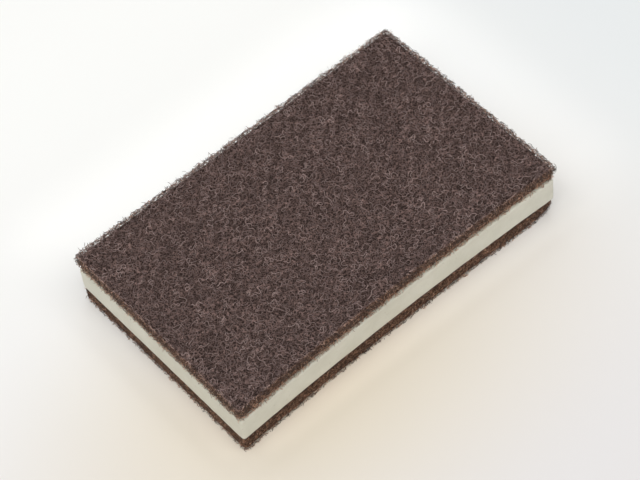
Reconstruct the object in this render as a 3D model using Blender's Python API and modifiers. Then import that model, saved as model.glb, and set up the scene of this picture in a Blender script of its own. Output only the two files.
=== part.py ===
"""Abrasive hand pad: a foam core with a web of abrasive fibre bonded to each face.

The pad lies flat on its lower web. +X runs along its length, +Y away from the near long side and +Z up.
The origin is the middle of the underside. Sizes are in metres.
"""

import math

import bmesh
import bpy

# Driving dimensions
LENGTH = 0.1150
WIDTH = 0.0700
WEB_THICKNESS = 0.0055
CORE_THICKNESS = 0.0092
BOND_GAP = 0.0003  # the glue line between a web and the core
CORNER_RADIUS = 0.0008
NEAR_SIDE_HOLLOW = 0.0013  # how far the near long side is cut in at its middle
WEB_RIM_ROUND = 0.0004  # the fibres round off at a web's outer rim
CORE_RIM_ROUND = 0.0002

# How finely the round stretches are drawn
CORNER_STEPS = 8
HOLLOW_STEPS = 24
ROUND_STEPS = 3

# Points nearer than this are one point
WELD_DISTANCE = 0.00001

WEB_COLOUR = (0.096, 0.066, 0.058, 1.0)
FOAM_COLOUR = (0.80, 0.77, 0.69, 1.0)


def clear_scene():
    for obj in list(bpy.data.objects):
        bpy.data.objects.remove(obj)


def make_collection(name):
    collection = bpy.data.collections.new(name)
    bpy.context.scene.collection.children.link(collection)
    return collection


def make_material(name, colour, roughness):
    material = bpy.data.materials.new(name)
    material.use_nodes = True
    shader = material.node_tree.nodes["Principled BSDF"]
    shader.inputs["Base Color"].default_value = colour
    shader.inputs["Roughness"].default_value = roughness
    shader.inputs["Metallic"].default_value = 0.0
    material.diffuse_color = colour
    return material


def arc(centre, radius, start, end, steps):
    """Points of an arc from angle start to angle end, both ends included."""
    angles = [start + (end - start) * i / steps for i in range(steps + 1)]
    return [(centre[0] + radius * math.cos(a), centre[1] + radius * math.sin(a)) for a in angles]


def hollow_side(half_span, y_side):
    """Points of the near side between its two corner arcs: one shallow arc, cut in by NEAR_SIDE_HOLLOW."""
    if NEAR_SIDE_HOLLOW <= 0:
        return []
    radius = (half_span**2 + NEAR_SIDE_HOLLOW**2) / (2 * NEAR_SIDE_HOLLOW)
    half_angle = math.asin(half_span / radius)
    centre = (0.0, y_side + NEAR_SIDE_HOLLOW - radius)
    up = math.pi / 2
    return arc(centre, radius, up + half_angle, up - half_angle, HOLLOW_STEPS)[1:-1]


def pad_outline():
    """The pad's plan, anticlockwise from the near side's left corner."""
    x_corner = LENGTH / 2 - CORNER_RADIUS
    y_corner = WIDTH / 2 - CORNER_RADIUS
    quarter = math.pi / 2
    corners = [
        ((-x_corner, -y_corner), 2 * quarter),
        ((x_corner, -y_corner), 3 * quarter),
        ((x_corner, y_corner), 0.0),
        ((-x_corner, y_corner), quarter),
    ]
    arcs = [arc(c, CORNER_RADIUS, start, start + quarter, CORNER_STEPS) for c, start in corners]
    return arcs[0] + hollow_side(x_corner, -WIDTH / 2) + arcs[1] + arcs[2] + arcs[3]


def slab_curve(name, outline, thickness):
    """A closed flat outline, filled and extruded evenly about its own plane."""
    curve = bpy.data.curves.new(name, "CURVE")
    curve.dimensions = "2D"
    curve.fill_mode = "BOTH"
    curve.extrude = thickness / 2
    spline = curve.splines.new("POLY")
    spline.points.add(len(outline) - 1)
    for point, (x, y) in zip(spline.points, outline, strict=True):
        point.co = (x, y, 0.0, 1.0)
    spline.use_cyclic_u = True
    return bpy.data.objects.new(name, curve)


def mesh_from_curve(curve_object, name, collection):
    """The curve as a mesh object with its caps welded on, in the same place. The curve is removed."""
    collection.objects.link(curve_object)
    bpy.context.view_layer.update()
    evaluated = curve_object.evaluated_get(bpy.context.evaluated_depsgraph_get())
    mesh = bpy.data.meshes.new_from_object(evaluated)
    shape = bmesh.new()
    shape.from_mesh(mesh)
    bmesh.ops.remove_doubles(shape, verts=shape.verts, dist=WELD_DISTANCE)
    shape.to_mesh(mesh)
    shape.free()
    mesh.name = name
    obj = bpy.data.objects.new(name, mesh)
    obj.matrix_world = curve_object.matrix_world
    bpy.data.objects.remove(curve_object)
    obj.name = name
    collection.objects.link(obj)
    return obj


def round_rims(obj, rim_heights, width):
    """Rounds the rims at these heights of the slab's own mesh with a Bevel modifier."""
    mesh = obj.data
    weights = mesh.attributes.new("bevel_weight_edge", "FLOAT", "EDGE")
    for edge in outer_edges(mesh):
        height = mesh.vertices[edge.vertices[0]].co.z
        if any(abs(height - z) < WELD_DISTANCE for z in rim_heights):
            weights.data[edge.index].value = 1.0
    bevel = obj.modifiers.new("rim_round", "BEVEL")
    bevel.limit_method = "WEIGHT"
    bevel.width = width
    bevel.segments = ROUND_STEPS


def outer_edges(mesh):
    """The edges where a flat face meets a side wall."""
    kinds = {}
    for face in mesh.polygons:
        flat = abs(face.normal.z) > 0.5
        for key in face.edge_keys:
            kinds.setdefault(key, set()).add(flat)
    return [edge for edge in mesh.edges if len(kinds[edge.key]) == 2]


def make_layer(name, bottom, thickness, rims, rim_round, material, collection):
    """One layer of the pad, standing on height bottom. rims says which of its rims are rounded."""
    obj = mesh_from_curve(slab_curve(name + "_outline", pad_outline(), thickness), name, collection)
    obj.location.z = bottom + thickness / 2
    heights = {"lower": -thickness / 2, "upper": thickness / 2}
    round_rims(obj, [heights[r] for r in rims], rim_round)
    obj.data.materials.clear()
    obj.data.materials.append(material)
    obj.data.shade_smooth()
    obj.data.set_sharp_from_angle(angle=math.radians(30))
    return obj


def build():
    clear_scene()
    pad = make_collection("abrasive_hand_pad")
    web = make_material("abrasive_web", WEB_COLOUR, 0.9)
    foam = make_material("foam", FOAM_COLOUR, 0.8)

    core_bottom = WEB_THICKNESS + BOND_GAP
    upper_web_bottom = core_bottom + CORE_THICKNESS + BOND_GAP

    make_layer("lower_web", 0.0, WEB_THICKNESS, ["lower"], WEB_RIM_ROUND, web, pad)
    make_layer("foam_core", core_bottom, CORE_THICKNESS, ["lower", "upper"], CORE_RIM_ROUND, foam, pad)
    make_layer("upper_web", upper_web_bottom, WEB_THICKNESS, ["upper"], WEB_RIM_ROUND, web, pad)


build()
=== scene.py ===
"""The looks of the abrasive hand pad: two webs of curly abrasive fibre bonded to a pale foam core.

Each layer stands in the place of its CAD node. +X runs along the pad, +Y away from the near long side
and +Z up. Sizes are in metres.
"""

import math
from typing import NamedTuple

import bmesh
import bpy
import numpy as np
from mathutils import Matrix, Vector, noise


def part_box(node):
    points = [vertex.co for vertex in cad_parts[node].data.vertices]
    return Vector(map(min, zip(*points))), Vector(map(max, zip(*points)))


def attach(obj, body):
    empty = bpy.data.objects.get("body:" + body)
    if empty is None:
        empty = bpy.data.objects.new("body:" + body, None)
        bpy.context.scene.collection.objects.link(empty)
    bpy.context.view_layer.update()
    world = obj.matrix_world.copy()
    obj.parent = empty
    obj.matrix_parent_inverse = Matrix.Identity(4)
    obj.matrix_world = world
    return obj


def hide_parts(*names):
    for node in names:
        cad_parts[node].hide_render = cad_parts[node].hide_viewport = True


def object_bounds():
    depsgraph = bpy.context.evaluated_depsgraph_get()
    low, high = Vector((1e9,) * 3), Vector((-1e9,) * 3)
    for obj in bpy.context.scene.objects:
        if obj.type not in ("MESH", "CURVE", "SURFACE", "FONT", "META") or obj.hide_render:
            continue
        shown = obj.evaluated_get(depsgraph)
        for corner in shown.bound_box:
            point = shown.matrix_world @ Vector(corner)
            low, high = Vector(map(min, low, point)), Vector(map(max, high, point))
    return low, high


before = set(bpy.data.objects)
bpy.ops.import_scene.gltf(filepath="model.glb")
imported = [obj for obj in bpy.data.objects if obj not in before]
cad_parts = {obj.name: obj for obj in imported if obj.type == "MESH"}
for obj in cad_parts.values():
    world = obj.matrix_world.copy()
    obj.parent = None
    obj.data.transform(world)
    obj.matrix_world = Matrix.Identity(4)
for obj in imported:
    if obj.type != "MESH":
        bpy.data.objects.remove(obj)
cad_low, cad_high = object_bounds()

MM = 0.001
TURN = 2 * math.pi

# The pad's plan, from the frame and the two sizes that its box doesn't give
HALF_LENGTH = (cad_high.x - cad_low.x) / 2
HALF_WIDTH = (cad_high.y - cad_low.y) / 2
CORNER_RADIUS = 0.8 * MM
NEAR_SIDE_HOLLOW = 1.3 * MM
CORNER_STEPS = 24
NEAR_SIDE_STEPS = 120

LOWER_WEB = [corner.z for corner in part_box("lower_web")]
FOAM_CORE = [corner.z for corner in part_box("foam_core")]
UPPER_WEB = [corner.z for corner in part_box("upper_web")]

# The dense mat of each web stays behind its outermost fibres
MAT_FACE_INSET = 0.42 * MM
MAT_RIM_ROUND = 0.5 * MM
MAT_LUMP = 0.20 * MM
MAT_LUMP_SIZES = (1.1 * MM, 2.6 * MM)

FOAM_CELL = 0.7 * MM
FOAM_RIM_ROUND = 0.3 * MM
FOAM_LUMP = 0.06 * MM
FOAM_LUMP_SIZES = (2.5 * MM, 9.0 * MM)

# The fibres are thin tubes along winding paths. Ranges of lengths are in millimetres
FIBRE_RADIUS = 0.076 * MM
FIBRE_STEP = 0.30 * MM
FIBRE_SIDES = 3
SHORTEST_RUN = 4  # in steps
RADIUS_SHARES = (0.75, 1.2)  # of the usual radius, from fibre to fibre
RIPPLE = 0.12  # how much the radius varies along a fibre
RIPPLE_STEPS = 5.3
TIP_SHARE = 0.6  # of the radius, at a fibre's ends
CURL_RADIUS = (0.32, 0.64)
CURL_LENGTH = (2.6, 7.0)
KINK_RADIUS = (0.5, 1.3)
KINK_LENGTH = (1.2, 2.6)
SWAY_LENGTH = (2.0, 4.5)
SWAY_SHARES = (0.35, 1.0)  # of a layer's sway, from fibre to fibre
CUT_SHADE_REACH = 1.2 * MM  # how far in from the cut side the fibres look warmer
# Fibres that stand out past the cut side are painted dark, as painted shade: they are seen from their
# unlit side
LOOSE_REACH = 0.8 * MM  # how far out from the cut side a fibre looks quite dark
RIM_WARMTH = 0.35  # how warm the cut looks at the upper web's rim, against 1 below it
RIM_DARKENING = 2.0  # how much sooner loose fibres look dark at that rim, against 1 below it
RIM_HEIGHTS = (UPPER_WEB[1] - 1.3 * MM, UPPER_WEB[1])
LOWEST_FIBRE = cad_low.z + 1.2 * FIBRE_RADIUS  # fibres under the pad are pressed flat on the floor
EVEN_SHARES = np.array([0.7548776662, 0.5698402910])  # steps of the plastic number's sequence

# The steps of each kind of fibre, and the triangles that one takes on average once it is cut off
FACE_STEPS = 22
FACE_FIBRE_TRIANGLES = 118
RIM_STEPS = 16
RIM_FIBRE_TRIANGLES = 75
SIDE_STEPS = 14
SIDE_FIBRE_TRIANGLES = 50
END_STEPS = 5
END_FIBRE_TRIANGLES = 26

# The triangles that the fibres of a web's side may take in all
SIDE_TRIANGLES = 80000
END_TRIANGLES = 75000
RIM_TRIANGLES = 140000

# How the fibres lie. Levels are heights over the web's surface, so those under it are less than 0. An
# overhang is how far past the cut fibres are cut off in turn: its mean and its spread, in millimetres
PAST_CUT = 2 * MM  # paths begin up to this far outside the web
FACE_DIVE = 0.5 * MM
FACE_OVERHANG = (0.05, 0.25)
RIM_BAND = (-0.3 * MM, 0.85 * MM)  # the middles of the rim's loops lie from inside the cut to outside it
RIM_LEVELS = (-1.5 * MM, -0.2 * MM)
RIM_SWAY = 0.3 * MM
RIM_DIVE = 0.3 * MM
RIM_OVERHANG = (0.95, 0.30)
RIM_INNER_END = -1.5 * MM
RIM_DROOP = 0.4  # how far loops sink for each length that they stand out
SIDE_LEVELS = (-0.5 * MM, -0.05 * MM)
SIDE_SWAY = 0.25 * MM
SIDE_DIVE = 0.1 * MM
SIDE_OVERHANG = (0.15, 0.25)
END_LENGTH = (0.5, 1.0)
END_LEAN = (0.75, 0.35)  # from straight out, in radians, as mean and spread
END_BOW = 0.5  # how far an end bends aside, as a share of its length
END_ROOT = (0.3, 0.7)  # how deep in the side the ends begin
END_PAST_WEB = (0.3 * MM, 0.2 * MM)  # how far below and above the web they may begin
END_RAGGED_SHARE = 0.6

# The lower web is worn away towards the floor at one corner
WORN_CORNER = (HALF_LENGTH, -HALF_WIDTH)
WORN_DEPTH = 1.7 * MM
WORN_REACH = 6.0 * MM

# The camera, as the photograph was taken: where it aims, and from where
CAMERA_AIM = Vector((-1.4 * MM, -2.3 * MM, 10.6 * MM))
CAMERA_DISTANCE = 0.7327
CAMERA_AZIMUTH = math.radians(-35.01)
CAMERA_ELEVATION = math.radians(54.24)
CAMERA_ROLL = math.radians(-7.56)
CAMERA_LENS = 147.9
SENSOR_WIDTH = 36.0


# The two webs


class FaceLayer(NamedTuple):
    """One layer of fibres in a web's open face. tints is the range of their shades from dark to light."""

    suffix: str
    height: tuple
    sway: float
    tints: tuple
    triangles: int


class Web(NamedTuple):
    """What a web is like. up is 1 where its open face looks up, and -1 where it looks down.

    flare is how far its side stands out at its bottom and at its top. end_reach is how long the ends of
    cut fibres are there, as a share of the usual length.
    """

    prefix: str
    heights: list
    up: int
    seed: int
    mat_cell: float
    mat_inset: float
    flare: tuple
    end_reach: tuple
    side_tints: tuple
    face_layers: list

    @property
    def face_height(self):
        return self.heights[1] if self.up > 0 else self.heights[0]

    @property
    def bond_height(self):
        return self.heights[0] if self.up > 0 else self.heights[1]


UPPER = Web(
    prefix="upper_web",
    heights=UPPER_WEB,
    up=1,
    seed=11,
    mat_cell=0.7 * MM,
    mat_inset=0.40 * MM,
    flare=(0.05 * MM, 0.15 * MM),
    end_reach=(1.0, 1.7),
    side_tints=(0.4, 2.0),
    face_layers=[
        # Deeper layers take darker tints and the outermost the lightest: painted shade down in the face
        # and painted highlights on its top fibres
        FaceLayer("_inner_curls", (-0.55 * MM, -0.35 * MM), 0.25 * MM, (0.0, 0.5), 95000),
        FaceLayer("_middle_curls", (-0.42 * MM, -0.15 * MM), 0.32 * MM, (0.1, 0.8), 145000),
        FaceLayer("_outer_curls", (-0.30 * MM, -0.02 * MM), 0.32 * MM, (0.3, 1.0), 170000),
    ],
)
LOWER = Web(
    prefix="lower_web",
    heights=LOWER_WEB,
    up=-1,
    seed=31,
    mat_cell=0.85 * MM,
    mat_inset=0.25 * MM,
    flare=(0.05 * MM, -0.30 * MM),
    end_reach=(0.9, 0.9),
    side_tints=(-0.4, 1.0),
    face_layers=[FaceLayer("_face_curls", (-0.5 * MM, -0.1 * MM), 0.30 * MM, (0.2, 1.0), 75000)],
)
# The rim's loops take dark tints as painted shade: they stand out of the web and are seen from their
# unlit side
RIM_TINTS = (-0.5, 0.3)


# The pad's outline


def near_side(x):
    """The near side's y at x: a shallow hollow across the whole length."""
    return -HALF_WIDTH + NEAR_SIDE_HOLLOW * (1 - np.minimum(np.abs(x) / HALF_LENGTH, 1.0) ** 2)


def depth_inside(x, y):
    """How far a point lies inside the outline, less than zero outside it."""
    to_end = HALF_LENGTH - np.abs(x)
    to_side = np.minimum(HALF_WIDTH - y, y - near_side(x))
    square = np.minimum(to_end, to_side)
    in_corner = (to_end < CORNER_RADIUS) & (to_side < CORNER_RADIUS)
    rounded = CORNER_RADIUS - np.hypot(CORNER_RADIUS - to_end, CORNER_RADIUS - to_side)
    return np.where(in_corner, rounded, square)


def corner_arc(centre_x, centre_y, start):
    angles = np.linspace(start, start + TURN / 4, CORNER_STEPS + 1)
    x = centre_x + CORNER_RADIUS * np.cos(angles)
    y = centre_y + CORNER_RADIUS * np.sin(angles)
    return np.stack([x, y], axis=1)


def outline_points():
    """The outline anticlockwise from the near side's left corner, as a fine closed line."""
    x = HALF_LENGTH - CORNER_RADIUS
    y = HALF_WIDTH - CORNER_RADIUS
    near_x = np.linspace(-x, x, NEAR_SIDE_STEPS + 1)[1:-1]
    near = np.stack([near_x, near_side(near_x)], axis=1)
    corners = [
        corner_arc(-x, -y, TURN / 2),
        near,
        corner_arc(x, -y, TURN * 3 / 4),
        corner_arc(x, y, 0.0),
        corner_arc(-x, y, TURN / 4),
    ]
    return np.concatenate(corners)


OUTLINE = outline_points()
OUTLINE = np.concatenate([OUTLINE, OUTLINE[:1]])
OUTLINE_AT = np.concatenate([[0.0], np.cumsum(np.hypot(*np.diff(OUTLINE, axis=0).T))])
PERIMETER = OUTLINE_AT[-1]


def on_outline(s):
    """The outline's points and outward normals at the distances s along it."""
    def at(distance):
        wrapped = np.mod(distance, PERIMETER)
        x = np.interp(wrapped, OUTLINE_AT, OUTLINE[:, 0])
        y = np.interp(wrapped, OUTLINE_AT, OUTLINE[:, 1])
        return np.stack([x, y], axis=-1)

    reach = 0.3 * MM
    along = at(s + reach) - at(s - reach)
    along /= np.linalg.norm(along, axis=-1, keepdims=True)
    outward = np.stack([along[..., 1], -along[..., 0]], axis=-1)
    return at(s), outward


# The fibres reach past a web's bond more in some places than in others
RAGGED_STEP = 1.4 * MM
RAGGED_REACH = 0.35 * MM
RAGGED_AT = np.linspace(0.0, PERIMETER, round(PERIMETER / RAGGED_STEP))
RAGGED_BY = np.random.default_rng(5).normal(0.0, RAGGED_REACH, len(RAGGED_AT))


def ragged(along):
    """How much further than usual the fibres reach at these distances along the outline."""
    return np.interp(np.mod(along, PERIMETER), RAGGED_AT, RAGGED_BY)


def pulled_in(x, y, share):
    """Points of the lower web's side, moved in where it is worn; share is their part of its height."""
    away = np.hypot(x - WORN_CORNER[0], y - WORN_CORNER[1])
    inward = WORN_DEPTH * np.exp(-(away / WORN_REACH) ** 2) * (1 - np.clip(share, 0.0, 1.0))
    shrink = 1 - inward / np.hypot(x, y)
    return x * shrink, y * shrink


# Slabs: the mats of the webs, and the core


def plan_point(across, along, inset):
    """A point of the pad's plan from two shares of its length and width, with the corners rounded."""
    half_x = HALF_LENGTH - inset
    x = (2 * across - 1) * half_x
    low = float(near_side(x)) + inset
    high = HALF_WIDTH - inset
    y = low + (high - low) * along
    middle = (low + high) / 2
    radius = max(CORNER_RADIUS - inset / 2, 0.4 * MM)
    dx = abs(x) - (half_x - radius)
    dy = abs(y - middle) - ((high - low) / 2 - radius)
    if dx > 0 and dy > 0:
        shrink = max(dx, dy) / math.hypot(dx, dy)
        x = math.copysign(half_x - radius + dx * shrink, x)
        y = middle + math.copysign((high - low) / 2 - radius + dy * shrink, y - middle)
    return x, y


def slab(name, heights, inset, cell, open_faces, rim_round, worn=False):
    """A closed slab with fine cells on its sides and its open faces. Its other faces are plain caps."""
    columns = round(2 * HALF_LENGTH / cell)
    rows = round(2 * HALF_WIDTH / cell)
    layers = max(round((heights[1] - heights[0]) / cell), 4)
    ring = [(i, 0) for i in range(columns)]
    ring += [(columns, j) for j in range(rows)]
    ring += [(i, rows) for i in range(columns, 0, -1)]
    ring += [(0, j) for j in range(rows, 0, -1)]

    shape = bmesh.new()
    made = {}

    def corner(i, j, k):
        if (i, j, k) in made:
            return made[i, j, k]
        share = k / layers
        z = heights[0] + (heights[1] - heights[0]) * share
        to_rim = min(k, layers - k) * (heights[1] - heights[0]) / layers
        pulled = rim_round - math.sqrt(max(rim_round**2 - max(rim_round - to_rim, 0.0) ** 2, 0.0))
        on_side = i in (0, columns) or j in (0, rows)
        x, y = plan_point(i / columns, j / rows, inset + (pulled if on_side else 0.0))
        if worn:
            x, y = pulled_in(x, y, share)
        made[i, j, k] = shape.verts.new((x, y, z))
        return made[i, j, k]

    for k in range(layers):
        for (i, j), (m, n) in zip(ring, ring[1:] + ring[:1]):
            shape.faces.new((corner(i, j, k), corner(m, n, k), corner(m, n, k + 1), corner(i, j, k + 1)))
    for face, k in (("bottom", 0), ("top", layers)):
        order = 1 if face == "top" else -1
        if face not in open_faces:
            shape.faces.new([corner(i, j, k) for i, j in ring][::order])
            continue
        for i in range(columns):
            for j in range(rows):
                cell_corners = [(i, j), (i + 1, j), (i + 1, j + 1), (i, j + 1)]
                shape.faces.new([corner(m, n, k) for m, n in cell_corners][::order])
    mesh = bpy.data.meshes.new(name)
    shape.to_mesh(mesh)
    shape.free()
    mesh.shade_smooth()
    obj = bpy.data.objects.new(name, mesh)
    bpy.context.scene.collection.objects.link(obj)
    return obj


def roughen(obj, amount, sizes, keep_height=None):
    """Moves each point along its normal by noise of these feature sizes. Points at keep_height stay."""
    vertices = obj.data.vertices
    place = np.empty(len(vertices) * 3)
    normal = np.empty(len(vertices) * 3)
    vertices.foreach_get("co", place)
    vertices.foreach_get("normal", normal)
    place = place.reshape(-1, 3)
    push = np.zeros(len(vertices))
    for number, size in enumerate(sizes):
        push += np.array([noise.noise(Vector(point)) for point in place / size]) / (number + 1)
    if keep_height is not None:
        push[np.abs(place[:, 2] - keep_height) < 0.05 * MM] = 0.0
    place += normal.reshape(-1, 3) * (amount * push)[:, None]
    vertices.foreach_set("co", place.ravel())
    obj.data.update()


# Fibres


def spread_evenly(count, rng):
    """Pairs of numbers from 0 to 1 that fill a square evenly, without clumps or rows."""
    number = np.arange(count)[:, None]
    return np.mod(number * EVEN_SHARES + rng.uniform(0, 1, 2), 1.0)


def curls(rng, count, steps, area, height, sway, dive):
    """Paths of short curly fibres in a flat layer, as an array of count by steps by 3.

    area is (low, high) for each of the two directions in the layer, height is the layer's own height
    range, sway is how far a fibre swings up and down on its way, and dive how far its ends go down.
    """
    shape = (count, 1)
    s = np.arange(steps) * FIBRE_STEP

    def wave(shortest, longest):
        length = rng.uniform(shortest, longest, shape) * MM
        return np.sin(TURN * (s / length + rng.uniform(0, 1, shape)))

    bend = wave(*CURL_LENGTH) / (rng.uniform(*CURL_RADIUS, shape) * MM)
    bend += wave(*KINK_LENGTH) / (rng.uniform(*KINK_RADIUS, shape) * MM)
    heading = rng.uniform(0, TURN, shape) + np.cumsum(bend, axis=1) * FIBRE_STEP
    middle = steps // 2
    paths = np.stack([np.cos(heading), np.sin(heading)], axis=-1).cumsum(axis=1) * FIBRE_STEP
    paths -= paths[:, middle:middle + 1]
    starts = spread_evenly(count, rng)
    for axis, (low, high) in enumerate(area):
        paths[..., axis] += low + (high - low) * starts[:, axis:axis + 1]
    to_end = np.abs(np.linspace(-1, 1, steps))
    swing = wave(*SWAY_LENGTH) * rng.uniform(*SWAY_SHARES, shape) * sway
    level = rng.uniform(*height, shape) + swing - dive * to_end**3
    return np.concatenate([paths, level[..., None]], axis=-1)


def long_runs(keep):
    """Clears from keep, fibres by steps, every run of kept points that is too short for a fibre."""
    padded = np.pad(keep, ((0, 0), (1, 1)))
    change = np.diff(padded.astype(int), axis=1)
    rows, starts = np.nonzero(change == 1)
    ends = np.nonzero(change == -1)[1]
    short = (ends - starts) < SHORTEST_RUN
    result = keep.copy()
    for row, start, end in zip(rows[short], starts[short], ends[short]):
        result[row, start:end] = False
    return result


def within_budget(keep, triangles):
    """Clears the last fibres, where all of them would take more triangles than these."""
    segments = (keep[:, 1:] & keep[:, :-1]).sum(axis=1) * 2 * FIBRE_SIDES
    ends = (np.diff(np.pad(keep, ((0, 0), (1, 1))).astype(int), axis=1) != 0).sum(axis=1)
    total = np.cumsum(segments + ends)
    result = keep.copy()
    result[total > triangles] = False
    return result


def rings_round(points, radius):
    """The corners of a thin tube round each path, with its section carried along without twist."""
    ahead = np.gradient(points, axis=1)
    ahead /= np.maximum(np.linalg.norm(ahead, axis=-1, keepdims=True), 1e-12)
    side = np.empty_like(points)
    first = np.cross(ahead[:, 0], [0.31, 0.17, 0.93])
    side[:, 0] = first / np.linalg.norm(first, axis=-1, keepdims=True)
    for step in range(1, points.shape[1]):
        along = (side[:, step - 1] * ahead[:, step]).sum(axis=-1, keepdims=True)
        carried = side[:, step - 1] - along * ahead[:, step]
        side[:, step] = carried / np.linalg.norm(carried, axis=-1, keepdims=True)
    other = np.cross(ahead, side)
    angles = TURN * np.arange(FIBRE_SIDES) / FIBRE_SIDES
    spokes = side[:, :, None] * np.cos(angles)[:, None] + other[:, :, None] * np.sin(angles)[:, None]
    return points[:, :, None] + spokes * radius[:, :, None, None]


def run_ends(keep):
    """The first points and the last points of the kept runs, as two arrays like keep."""
    padded = np.pad(keep, ((0, 0), (1, 1)))
    return keep & ~padded[:, :-2], keep & ~padded[:, 2:]


def tube_faces(keep):
    """The faces of closed tubes along the kept runs, as numbers of their corners in one row."""
    number = np.full(keep.shape, -1)
    number[keep] = np.arange(keep.sum()) * FIBRE_SIDES
    joined = keep[:, 1:] & keep[:, :-1]
    near, far = number[:, :-1][joined], number[:, 1:][joined]
    quads = []
    for side in range(FIBRE_SIDES):
        following = (side + 1) % FIBRE_SIDES
        quads.append(np.stack([near + side, near + following, far + following, far + side], axis=1))
    quads = np.concatenate(quads)
    starts, ends = run_ends(keep)
    turned = np.arange(FIBRE_SIDES)
    caps = np.concatenate([
        number[starts][:, None] + turned[::-1],
        number[ends][:, None] + turned,
    ])
    return quads.tolist() + caps.tolist()


def cut_shares(points, bonded):
    """How near each of these points is to the cut side, and how loose it is, both from 0 to 1.

    1 is near on the cut itself. Loose grows with the way outside the cut, and sets the painted shade of
    fibres that stand out of the web, seen from their unlit side. Where the web is given as bonded, both
    also grow with the way past that web's bond.
    """
    height = points[:, 2]
    outside = -depth_inside(points[:, 0], points[:, 1])
    if bonded is not None:
        outside = np.maximum(outside, (bonded.bond_height - height) * bonded.up)
    warmth = np.interp(height, RIM_HEIGHTS, [1.0, RIM_WARMTH])
    near_cut = np.clip(1 + outside / CUT_SHADE_REACH, 0.0, 1.0) * warmth
    darkening = np.interp(height, RIM_HEIGHTS, [1.0, RIM_DARKENING])
    loose = np.clip(outside / LOOSE_REACH * darkening, 0.0, 1.0)
    return near_cut, loose


def fibres(name, points, keep, rng, material, tints, triangles, bonded=None):
    """One mesh of thin closed tubes along the kept stretches of the paths.

    tints is the range of shades from dark to light. It may reach past 0 or 1, for more fibres in the
    darkest or the lightest shade. bonded is the web whose bond cuts the fibres off, where one does.
    """
    points[..., 2] = np.maximum(points[..., 2], LOWEST_FIBRE)
    keep = within_budget(long_runs(keep), triangles)
    used = keep.any(axis=1)
    points, keep = points[used], keep[used]
    count, steps = keep.shape
    starts, ends = run_ends(keep)
    radius = FIBRE_RADIUS * rng.uniform(*RADIUS_SHARES, (count, 1)) * np.ones((1, steps))
    ripples = np.arange(steps) / RIPPLE_STEPS + rng.uniform(0, 1, (count, 1))
    radius *= 1 + RIPPLE * np.sin(TURN * ripples)
    radius[starts | ends] *= TIP_SHARE
    corners = rings_round(points, radius)[keep].reshape(-1, 3)

    mesh = bpy.data.meshes.new(name)
    mesh.from_pydata(corners.tolist(), [], tube_faces(keep))
    mesh.shade_smooth()
    tint = np.repeat(rng.uniform(*tints, (count, 1)), steps, axis=1)[keep]
    near_cut, loose = cut_shares(points[keep], bonded)
    for attribute_name, values in (("tint", tint), ("near_cut", near_cut), ("loose", loose)):
        attribute = mesh.attributes.new(attribute_name, "FLOAT", "POINT")
        attribute.data.foreach_set("value", np.repeat(values, FIBRE_SIDES).astype(np.float32))
    mesh.materials.append(material)
    mesh.update()
    obj = bpy.data.objects.new(name, mesh)
    bpy.context.scene.collection.objects.link(obj)
    return obj


def on_face(layer, web):
    """Lays a flat layer of paths on a web's open face; its third direction points away from the pad."""
    placed = layer.copy()
    placed[..., 2] = web.face_height + web.up * layer[..., 2]
    return placed


def on_wall(layer, bottom):
    """Wraps a flat layer of paths round a web's side: along the outline, up, and outward."""
    point, outward = on_outline(layer[..., 0])
    plan = point + outward * layer[..., 2:3]
    return np.concatenate([plan, bottom + layer[..., 1:2]], axis=-1)


def on_side(layer, web):
    """Wraps paths round a web's side, and pulls them in where the lower web is worn."""
    points = on_wall(layer, web.heights[0])
    if web is LOWER:
        share = layer[..., 1] / (web.heights[1] - web.heights[0])
        points[..., 0], points[..., 1] = pulled_in(points[..., 0], points[..., 1], share)
    return points


def face_fibres(web, kind, seed, material):
    """Fibres that lie in a web's open face, cut off where the web is cut."""
    rng = np.random.default_rng(seed)
    count = kind.triangles // FACE_FIBRE_TRIANGLES
    area = [(-half - PAST_CUT, half + PAST_CUT) for half in (HALF_LENGTH, HALF_WIDTH)]
    layer = curls(rng, count, FACE_STEPS, area, kind.height, kind.sway, FACE_DIVE)
    overhang = rng.normal(*FACE_OVERHANG, (count, 1)) * MM
    keep = depth_inside(layer[..., 0], layer[..., 1]) > -overhang
    name = web.prefix + kind.suffix
    return fibres(name, on_face(layer, web), keep, rng, material, kind.tints, kind.triangles)


def rim_fibres(web, seed, material):
    """Loops round the rim of the upper web's open face, some of them out past its side."""
    rng = np.random.default_rng(seed)
    count = RIM_TRIANGLES // RIM_FIBRE_TRIANGLES
    area = [(0.0, PERIMETER), RIM_BAND]
    layer = curls(rng, count, RIM_STEPS, area, RIM_LEVELS, RIM_SWAY, RIM_DIVE)
    overhang = rng.normal(*RIM_OVERHANG, (count, 1)) * MM
    keep = (layer[..., 1] < overhang) & (layer[..., 1] > RIM_INNER_END)
    layer[..., 2] -= RIM_DROOP * np.maximum(layer[..., 1], 0.0)
    points = on_wall(layer[..., [0, 2, 1]], web.face_height)
    return fibres(web.prefix + "_rim_curls", points, keep, rng, material, RIM_TINTS, RIM_TRIANGLES)


def side_fibres(web, seed, material):
    """Winding fibres along a web's cut side."""
    rng = np.random.default_rng(seed)
    height = web.heights[1] - web.heights[0]
    area = [(0.0, PERIMETER), (-PAST_CUT, height + PAST_CUT)]
    count = SIDE_TRIANGLES // SIDE_FIBRE_TRIANGLES
    layer = curls(rng, count, SIDE_STEPS, area, SIDE_LEVELS, SIDE_SWAY, SIDE_DIVE)
    past_end = rng.normal(*SIDE_OVERHANG, (count, 1)) * MM + ragged(layer[:, :1, 0])
    keep = (layer[..., 1] > -past_end) & (layer[..., 1] < height + past_end)
    layer[..., 2] += np.interp(layer[..., 1], [0.0, height], web.flare)
    name = web.prefix + "_side_curls"
    return fibres(name, on_side(layer, web), keep, rng, material, web.side_tints, SIDE_TRIANGLES, web)


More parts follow.
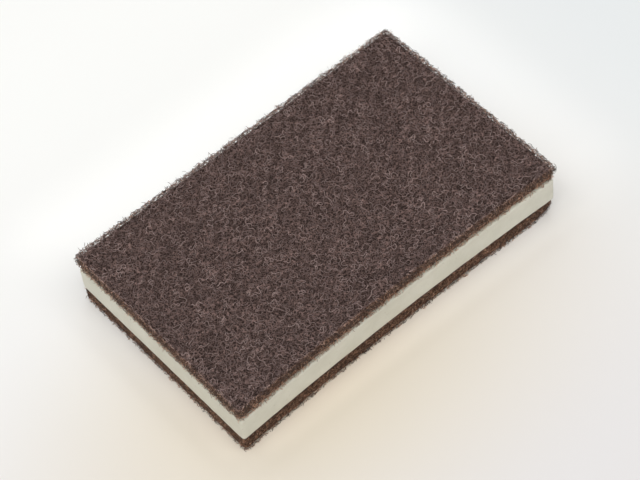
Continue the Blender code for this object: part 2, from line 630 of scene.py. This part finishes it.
def cut_ends(web, seed, material):
    """Short ends of cut fibres that stick out of a web's side, all round it."""
    rng = np.random.default_rng(seed)
    height = web.heights[1] - web.heights[0]
    count = END_TRIANGLES // END_FIBRE_TRIANGLES
    shape = (count, 1)
    share = np.linspace(0.0, 1.0, END_STEPS)
    length = rng.uniform(*END_LENGTH, shape) * MM
    turn = rng.uniform(0, TURN, shape)
    lean = np.abs(rng.normal(*END_LEAN, shape))
    bow = rng.normal(0.0, END_BOW, (2,) + shape) * length * share**2
    starts = spread_evenly(count, rng)
    length *= np.interp(starts[:, 1:], [0.0, 1.0], web.end_reach)
    along = starts[:, :1] * PERIMETER + length * share * np.sin(lean) * np.cos(turn) + bow[0]
    level = -END_PAST_WEB[0] + (height + sum(END_PAST_WEB)) * starts[:, 1:]
    level = level + END_RAGGED_SHARE * ragged(along)
    upward = level + length * share * np.sin(lean) * np.sin(turn) + bow[1]
    outward = length * share * np.cos(lean) - rng.uniform(*END_ROOT, shape) * MM
    outward += np.interp(upward, [0.0, height], web.flare)
    points = on_side(np.stack([along, upward, outward], axis=-1), web)
    keep = np.ones((count, END_STEPS), bool)
    name = web.prefix + "_cut_ends"
    return fibres(name, points, keep, rng, material, web.side_tints, END_TRIANGLES, web)


# Materials

# Shades of a web from dark to light, in its open face and on its cut sides
WEB_SHADES = [(0.10, 0.063, 0.058), (0.235, 0.161, 0.153), (0.51, 0.38, 0.362)]
CUT_SHADES = [(0.050, 0.022, 0.014), (0.46, 0.235, 0.150), (0.78, 0.49, 0.345)]
MAT_SHADES = [(0.024, 0.014, 0.012), (0.265, 0.175, 0.160)]
MAT_CUT_SHADES = [(0.040, 0.020, 0.013), (0.43, 0.232, 0.152)]
# Painted shade for fibres that stand out past the cut side
STANDING_OUT_PAINTED_SHADE = (0.078, 0.050, 0.038)
CLUMP_SIZE = 0.8 * MM

FOAM_SHADES = [(0.70, 0.688, 0.597), (0.775, 0.764, 0.677)]
# The pores are painted darker: painted shade inside them
FOAM_PORE_PAINTED_SHADE = (0.48, 0.45, 0.37)
FOAM_VIEWPORT_SHADE = (0.80, 0.77, 0.69, 1.0)
FOAM_CELL_SIZE = 0.32 * MM

# The floor's shades from its near part to its far part, and on its right: a painted falloff of light,
# darker towards the near part and on the right
FLOOR_SHADES = [(0.773, 0.765, 0.785), (0.955, 0.97, 0.975)]
FLOOR_DEPTH = 0.124  # they change from this far before the middle to this far behind it
FLOOR_SLANT = 0.27  # how much the right counts as behind
FLOOR_RIGHT_SHADE = (0.81, 0.845, 0.875)
FLOOR_RIGHT = (0.045, 0.125)  # where that shade begins, and where it is full

# A painted warm shade on the floor, round the pad's near left part
WARM_SHADE = (0.755, 0.689, 0.578)
WARM_CENTRE = (-0.03, -0.03)
WARM_REACH = 0.08
WARM_STRETCH = 0.6  # of the distances along the pad, so that the patch is longer that way

# The floor is painted lighter close beside the pad, as painted light that lifts the pad's shade there:
# warm at the warm patch and plain elsewhere
LIGHT_WARM_SHADE = (0.975, 0.885, 0.755)
LIGHT_PLAIN_SHADE = (0.975, 0.975, 0.975)
LIGHT_WARM_REACH = 0.06
LIGHT_REACH = 9 * MM
LIGHT_SHARE = 0.85
CORNER_FADE = (-9 * MM, 3 * MM)  # past the corners of the pad only a part of that light is left
CORNER_SHARE = 0.2

# The floor looks white behind the pad, from a painted glow that lifts the pad's shade there. The pad
# hides it from the camera for this way along x and y, and for HIDDEN_LENGTH in all
HIDDEN_BEHIND = (8.6 * MM, 12.3 * MM)
HIDDEN_LENGTH = 15 * MM
WHITE_RISE = (-8 * MM, 26 * MM)
WHITE_REACH = 32 * MM
WHITE_STRENGTH = 0.12


class Nodes:
    """A short way to write a material's nodes."""

    def __init__(self, name, viewport_colour):
        self.material = bpy.data.materials.new(name)
        self.material.use_nodes = True
        self.material.diffuse_color = viewport_colour
        self.tree = self.material.node_tree
        self.shader = self.tree.nodes["Principled BSDF"]
        self.shader.inputs["Base Color"].default_value = viewport_colour

    def add(self, kind, **settings):
        node = self.tree.nodes.new(kind)
        for key, value in settings.items():
            setattr(node, key, value)
        return node

    def link(self, source, target):
        self.tree.links.new(source, target)

    def place(self):
        return self.add("ShaderNodeTexCoord").outputs["Object"]

    def noise(self, place, size, detail=2.0, roughness=0.5):
        node = self.add("ShaderNodeTexNoise")
        self.link(place, node.inputs["Vector"])
        node.inputs["Scale"].default_value = 1 / size
        node.inputs["Detail"].default_value = detail
        node.inputs["Roughness"].default_value = roughness
        return node.outputs["Fac"]

    def maths(self, operation, first, second=None):
        node = self.add("ShaderNodeMath", operation=operation)
        for socket, value in zip(node.inputs, (first, second)):
            if isinstance(value, (int, float)):
                socket.default_value = value
            elif value is not None:
                self.link(value, socket)
        return node.outputs[0]

    def length(self, first, second):
        squares = [self.maths("MULTIPLY", part, part) for part in (first, second)]
        return self.maths("SQRT", self.maths("ADD", *squares))

    def parts(self, vector):
        node = self.add("ShaderNodeSeparateXYZ")
        self.link(vector, node.inputs["Vector"])
        return node.outputs

    def attribute(self, name):
        return self.add("ShaderNodeAttribute", attribute_name=name).outputs["Fac"]

    def spread(self, value, low, high, to_low=0.0, to_high=1.0):
        node = self.add("ShaderNodeMapRange", interpolation_type="SMOOTHSTEP")
        self.link(value, node.inputs["Value"])
        keys = ("From Min", "From Max", "To Min", "To Max")
        for key, number in zip(keys, (low, high, to_low, to_high)):
            node.inputs[key].default_value = number
        return node.outputs["Result"]

    def ramp(self, value, stops):
        node = self.add("ShaderNodeValToRGB")
        self.link(value, node.inputs["Fac"])
        elements = node.color_ramp.elements
        while len(elements) < len(stops):
            elements.new(0.5)
        for element, (position, colour) in zip(elements, stops):
            element.position = position
            element.color = (*colour, 1.0)
        return node.outputs["Color"]

    def mix(self, share, first, second):
        node = self.add("ShaderNodeMix", data_type="RGBA")
        colours = [socket for socket in node.inputs if socket.type == "RGBA"]
        if isinstance(share, (int, float)):
            node.inputs["Factor"].default_value = share
        else:
            self.link(share, node.inputs["Factor"])
        for socket, value in zip(colours, (first, second)):
            if isinstance(value, tuple):
                socket.default_value = (*value, 1.0)
            else:
                self.link(value, socket)
        return next(socket for socket in node.outputs if socket.type == "RGBA")

    def finish(self, specular, roughness=None):
        self.shader.inputs["Specular IOR Level"].default_value = specular
        if roughness is not None:
            self.shader.inputs["Roughness"].default_value = roughness

    def bump(self, height, distance, strength=1.0):
        node = self.add("ShaderNodeBump")
        self.link(height, node.inputs["Height"])
        node.inputs["Distance"].default_value = distance
        node.inputs["Strength"].default_value = strength
        self.link(node.outputs["Normal"], self.shader.inputs["Normal"])


def curly_lines(nodes, place, size, width):
    """Thin winding lines, where a smooth noise crosses its middle value."""
    level = nodes.noise(place, size, detail=0.0)
    away = nodes.maths("ABSOLUTE", nodes.maths("SUBTRACT", level, 0.5))
    return nodes.spread(away, 0.0, width, 1.0, 0.0)


def in_clumps(nodes, place, cut_colour, shade):
    """A web's cut colour, with shade between the clumps of its cut fibres."""
    clumps = nodes.noise(place, CLUMP_SIZE, detail=1.0)
    return nodes.mix(nodes.spread(clumps, 0.45, 0.60, 0.0, 0.7), cut_colour, shade)


def mat_material():
    """The dense part of a web: winding fibres seen deep down, over shade, and warmer on its cut sides."""
    nodes = Nodes("web_mat", (*MAT_SHADES[1], 1.0))
    place = nodes.place()
    height = curly_lines(nodes, place, 1.15 * MM, 0.05)
    for size, width in ((0.85 * MM, 0.06), (0.65 * MM, 0.07)):
        height = nodes.maths("MAXIMUM", height, curly_lines(nodes, place, size, width))
    patches = nodes.noise(place, 5.0 * MM, detail=3.0)
    shade = nodes.maths("MULTIPLY", height, nodes.spread(patches, 0.3, 0.7, 0.6, 1.0))
    normal = nodes.parts(nodes.add("ShaderNodeNewGeometry").outputs["Normal"])
    on_face = nodes.spread(nodes.maths("ABSOLUTE", normal["Z"]), 0.3, 0.7)
    face = nodes.ramp(shade, list(zip((0.0, 1.0), MAT_SHADES)))
    cut = nodes.ramp(shade, list(zip((0.0, 1.0), MAT_CUT_SHADES)))
    cut = in_clumps(nodes, place, cut, MAT_CUT_SHADES[0])
    nodes.link(nodes.mix(on_face, cut, face), nodes.shader.inputs["Base Color"])
    nodes.finish(roughness=0.85, specular=0.2)
    nodes.bump(height, 0.15 * MM)
    return nodes.material


def fibre_material():
    """Resin-coated fibre with abrasive grains.

    Each fibre has its own tint, warmer at the cut, and dark where it stands out of the web, which is
    painted shade.
    """
    nodes = Nodes("web_fibre", (*WEB_SHADES[1], 1.0))
    place = nodes.place()
    tint = nodes.attribute("tint")
    near_cut = nodes.attribute("near_cut")
    loose = nodes.attribute("loose")
    along = nodes.noise(place, 1.2 * MM, detail=2.0)
    mixed = nodes.maths("ADD", nodes.maths("MULTIPLY", tint, 0.7), nodes.maths("MULTIPLY", along, 0.3))
    positions = (0.12, 0.5, 0.88)
    face = nodes.ramp(mixed, list(zip(positions, WEB_SHADES)))
    cut = nodes.ramp(mixed, list(zip(positions, CUT_SHADES)))
    cut = in_clumps(nodes, place, cut, CUT_SHADES[0])
    colour = nodes.mix(nodes.spread(near_cut, 0.1, 0.8), face, cut)
    # Painted shade on fibres outside the cut
    colour = nodes.mix(nodes.spread(loose, 0.6, 1.0, 0.0, 0.75), colour, STANDING_OUT_PAINTED_SHADE)
    grains = nodes.noise(place, 0.09 * MM, detail=1.0)
    speckled = nodes.mix(nodes.spread(grains, 0.55, 0.75, 0.0, 0.3), colour, WEB_SHADES[0])
    nodes.link(speckled, nodes.shader.inputs["Base Color"])
    nodes.link(nodes.spread(grains, 0.3, 0.7, 0.28, 0.52), nodes.shader.inputs["Roughness"])
    nodes.finish(specular=0.5)
    nodes.bump(grains, 0.02 * MM)
    return nodes.material


def foam_material():
    """Fine-celled foam, matt and faintly yellow, with pores just large enough to see. The pores are sunk
    by the bump and painted darker, as painted shade inside them.
    """
    nodes = Nodes("foam", FOAM_VIEWPORT_SHADE)
    place = nodes.place()
    clouds = nodes.noise(place, 6.0 * MM, detail=4.0, roughness=0.6)
    colour = nodes.ramp(clouds, list(zip((0.3, 0.7), FOAM_SHADES)))
    cells = nodes.add("ShaderNodeTexVoronoi")
    nodes.link(place, cells.inputs["Vector"])
    cells.inputs["Scale"].default_value = 1 / FOAM_CELL_SIZE
    walls = nodes.spread(cells.outputs["Distance"], 0.1, 0.55, 0.0, 1.0)
    pores = nodes.noise(place, 0.9 * MM, detail=2.0)
    pitted = nodes.spread(pores, 0.66, 0.76, 0.0, 0.35)
    # Painted shade in the pores
    nodes.link(nodes.mix(pitted, colour, FOAM_PORE_PAINTED_SHADE), nodes.shader.inputs["Base Color"])
    nodes.finish(roughness=0.8, specular=0.3)
    nodes.bump(nodes.maths("SUBTRACT", walls, nodes.maths("MULTIPLY", pitted, 2.0)), 0.03 * MM, 0.8)
    return nodes.material


def floor_colour(nodes, x, y):
    """The floor's own colour at x and y."""
    sideways = nodes.maths("MULTIPLY", nodes.maths("SUBTRACT", x, WARM_CENTRE[0]), WARM_STRETCH)
    inward = nodes.maths("SUBTRACT", y, WARM_CENTRE[1])
    from_warm = nodes.length(sideways, inward)
    # Painted falloff of light: darker towards the near part and on the right
    slanted = nodes.maths("ADD", nodes.maths("MULTIPLY", x, FLOOR_SLANT), y)
    to_back = nodes.spread(slanted, -FLOOR_DEPTH, FLOOR_DEPTH)
    plain = nodes.ramp(to_back, list(zip((0.0, 1.0), FLOOR_SHADES)))
    plain = nodes.mix(nodes.spread(x, *FLOOR_RIGHT), plain, FLOOR_RIGHT_SHADE)
    # Painted warm shade round the pad's near left part
    colour = nodes.mix(nodes.spread(from_warm, 0.0, WARM_REACH), WARM_SHADE, plain)

    # Painted light close beside the pad, less past its corners
    to_end = nodes.maths("SUBTRACT", nodes.maths("ABSOLUTE", x), HALF_LENGTH)
    to_side = nodes.maths("SUBTRACT", nodes.maths("ABSOLUTE", y), HALF_WIDTH)
    beside = nodes.spread(nodes.maths("MAXIMUM", to_end, to_side), 0.0, LIGHT_REACH, LIGHT_SHARE, 0.0)
    off_corner = nodes.spread(nodes.maths("MINIMUM", to_end, to_side), *CORNER_FADE, 1.0, CORNER_SHARE)
    to_plain = nodes.spread(from_warm, 0.0, LIGHT_WARM_REACH)
    light = nodes.mix(to_plain, LIGHT_WARM_SHADE, LIGHT_PLAIN_SHADE)
    return nodes.mix(nodes.maths("MULTIPLY", beside, off_corner), colour, light)


def painted_glow_behind(nodes, x, y):
    """How white a painted glow makes the floor look beyond its own colour at x and y, behind the pad."""
    past = []
    backward = []
    for value, half, hidden in zip((x, y), (HALF_LENGTH, HALF_WIDTH), HIDDEN_BEHIND):
        shifted = nodes.maths("ABSOLUTE", nodes.maths("SUBTRACT", value, hidden))
        past.append(nodes.maths("MAXIMUM", nodes.maths("SUBTRACT", shifted, half), 0.0))
        backward.append(nodes.maths("MULTIPLY", value, hidden / HIDDEN_LENGTH))
    to_back = nodes.spread(nodes.maths("ADD", *backward), *WHITE_RISE)
    near_pad = nodes.spread(nodes.length(*past), 0.0, WHITE_REACH, WHITE_STRENGTH, 0.0)
    return nodes.maths("MULTIPLY", to_back, near_pad)


def floor_material():
    """A pale sheet with painted shade and light: warmer and a little darker on the near side of the pad,
    lighter close beside it, and white behind it from a painted glow.
    """
    nodes = Nodes("floor", (0.9, 0.9, 0.9, 1.0))
    place = nodes.parts(nodes.place())
    nodes.link(floor_colour(nodes, place["X"], place["Y"]), nodes.shader.inputs["Base Color"])
    nodes.finish(roughness=0.9, specular=0.1)
    # A painted glow behind the pad, seen by the camera and in reflections
    rays = nodes.add("ShaderNodeLightPath").outputs
    seen = nodes.maths("ADD", rays["Is Camera Ray"], rays["Is Glossy Ray"])
    seen = nodes.maths("ADD", seen, rays["Is Transmission Ray"])
    white = painted_glow_behind(nodes, place["X"], place["Y"])
    nodes.shader.inputs["Emission Color"].default_value = (1.0, 1.0, 1.0, 1.0)
    nodes.link(nodes.maths("MULTIPLY", white, seen), nodes.shader.inputs["Emission Strength"])
    return nodes.material


# The pieces


def make_web(web, fibre, mat):
    """One web: its dense mat, and the fibres of its open face and its cut side."""
    face_at = web.face_height - web.up * MAT_FACE_INSET
    heights = sorted([web.bond_height, face_at])
    open_faces = ["top"] if web.up > 0 else ["bottom"]
    name = web.prefix + "_mat"
    body = slab(name, heights, web.mat_inset, web.mat_cell, open_faces, MAT_RIM_ROUND, web is LOWER)
    roughen(body, MAT_LUMP, MAT_LUMP_SIZES, web.bond_height)
    body.data.materials.append(mat)
    made = [body]
    for number, kind in enumerate(web.face_layers):
        made.append(face_fibres(web, kind, web.seed + number, fibre))
    made.append(side_fibres(web, web.seed + 5, fibre))
    made.append(cut_ends(web, web.seed + 6, fibre))
    if web is UPPER:
        made.append(rim_fibres(web, web.seed + 7, fibre))
    for piece in made:
        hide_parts(web.prefix)
        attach(piece, "root")


def make_core():
    core = slab("foam_core_body", FOAM_CORE, 0.0, FOAM_CELL, [], FOAM_RIM_ROUND)
    roughen(core, FOAM_LUMP, FOAM_LUMP_SIZES)
    core.data.materials.append(foam_material())
    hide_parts("foam_core")
    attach(core, "root")


def make_floor():
    half = 3.0
    mesh = bpy.data.meshes.new("floor")
    corners = [(-half, -half, 0.0), (half, -half, 0.0), (half, half, 0.0), (-half, half, 0.0)]
    mesh.from_pydata(corners, [], [(0, 1, 2, 3)])
    mesh.materials.append(floor_material())
    floor = bpy.data.objects.new("floor", mesh)
    bpy.context.scene.collection.objects.link(floor)


# Camera and light

WORLD_COLOUR = (1.0, 0.975, 0.93, 1.0)
WORLD_STRENGTH = 0.32

# Each lamp's name, place, size, power and colour. The two fills light the pad's near sides
LAMPS = [
    ("overhead", (0.0, 0.10, 1.35), 1.2, 2.5, (0.98, 0.99, 1.0)),
    ("window", (0.18, 0.68, 1.21), 1.5, 4.2, (0.94, 0.975, 1.0)),
    ("side_fill", (-0.66, -0.22, 1.15), 1.0, 7.0, (1.0, 0.97, 0.92)),
    ("front_fill", (0.12, -0.70, 1.15), 1.0, 5.2, (1.0, 0.98, 0.94)),
]


def make_camera():
    level = math.cos(CAMERA_ELEVATION)
    back = Vector((
        math.sin(CAMERA_AZIMUTH) * level,
        -math.cos(CAMERA_AZIMUTH) * level,
        math.sin(CAMERA_ELEVATION),
    ))
    right = Vector((0, 0, 1)).cross(back).normalized()
    up = back.cross(right)
    rolled_right = right * math.cos(CAMERA_ROLL) + up * math.sin(CAMERA_ROLL)
    rolled_up = up * math.cos(CAMERA_ROLL) - right * math.sin(CAMERA_ROLL)
    data = bpy.data.cameras.new("camera")
    data.sensor_width = SENSOR_WIDTH
    data.lens = CAMERA_LENS
    data.clip_start = 0.01
    camera = bpy.data.objects.new("camera", data)
    turn = Matrix((rolled_right, rolled_up, back)).transposed()
    camera.matrix_world = Matrix.Translation(CAMERA_AIM + back * CAMERA_DISTANCE) @ turn.to_4x4()
    bpy.context.scene.collection.objects.link(camera)
    bpy.context.scene.camera = camera


def area_lamp(name, place, size, power, colour):
    """A square lamp at this place that faces the pad."""
    data = bpy.data.lights.new(name, "AREA")
    data.size = size
    data.energy = power
    data.color = colour
    lamp = bpy.data.objects.new(name, data)
    lamp.location = place
    lamp.rotation_euler = (-Vector(place)).to_track_quat("-Z", "Y").to_euler()
    bpy.context.scene.collection.objects.link(lamp)


def make_light():
    world = bpy.data.worlds.new("world")
    world.use_nodes = True
    background = world.node_tree.nodes["Background"]
    background.inputs["Color"].default_value = WORLD_COLOUR
    background.inputs["Strength"].default_value = WORLD_STRENGTH
    bpy.context.scene.world = world
    for lamp in LAMPS:
        area_lamp(*lamp)


web_mat = mat_material()
web_fibre = fibre_material()
make_web(UPPER, web_fibre, web_mat)
make_web(LOWER, web_fibre, web_mat)
make_core()
make_floor()
make_camera()
make_light()
bpy.context.scene.view_settings.view_transform = "Standard"
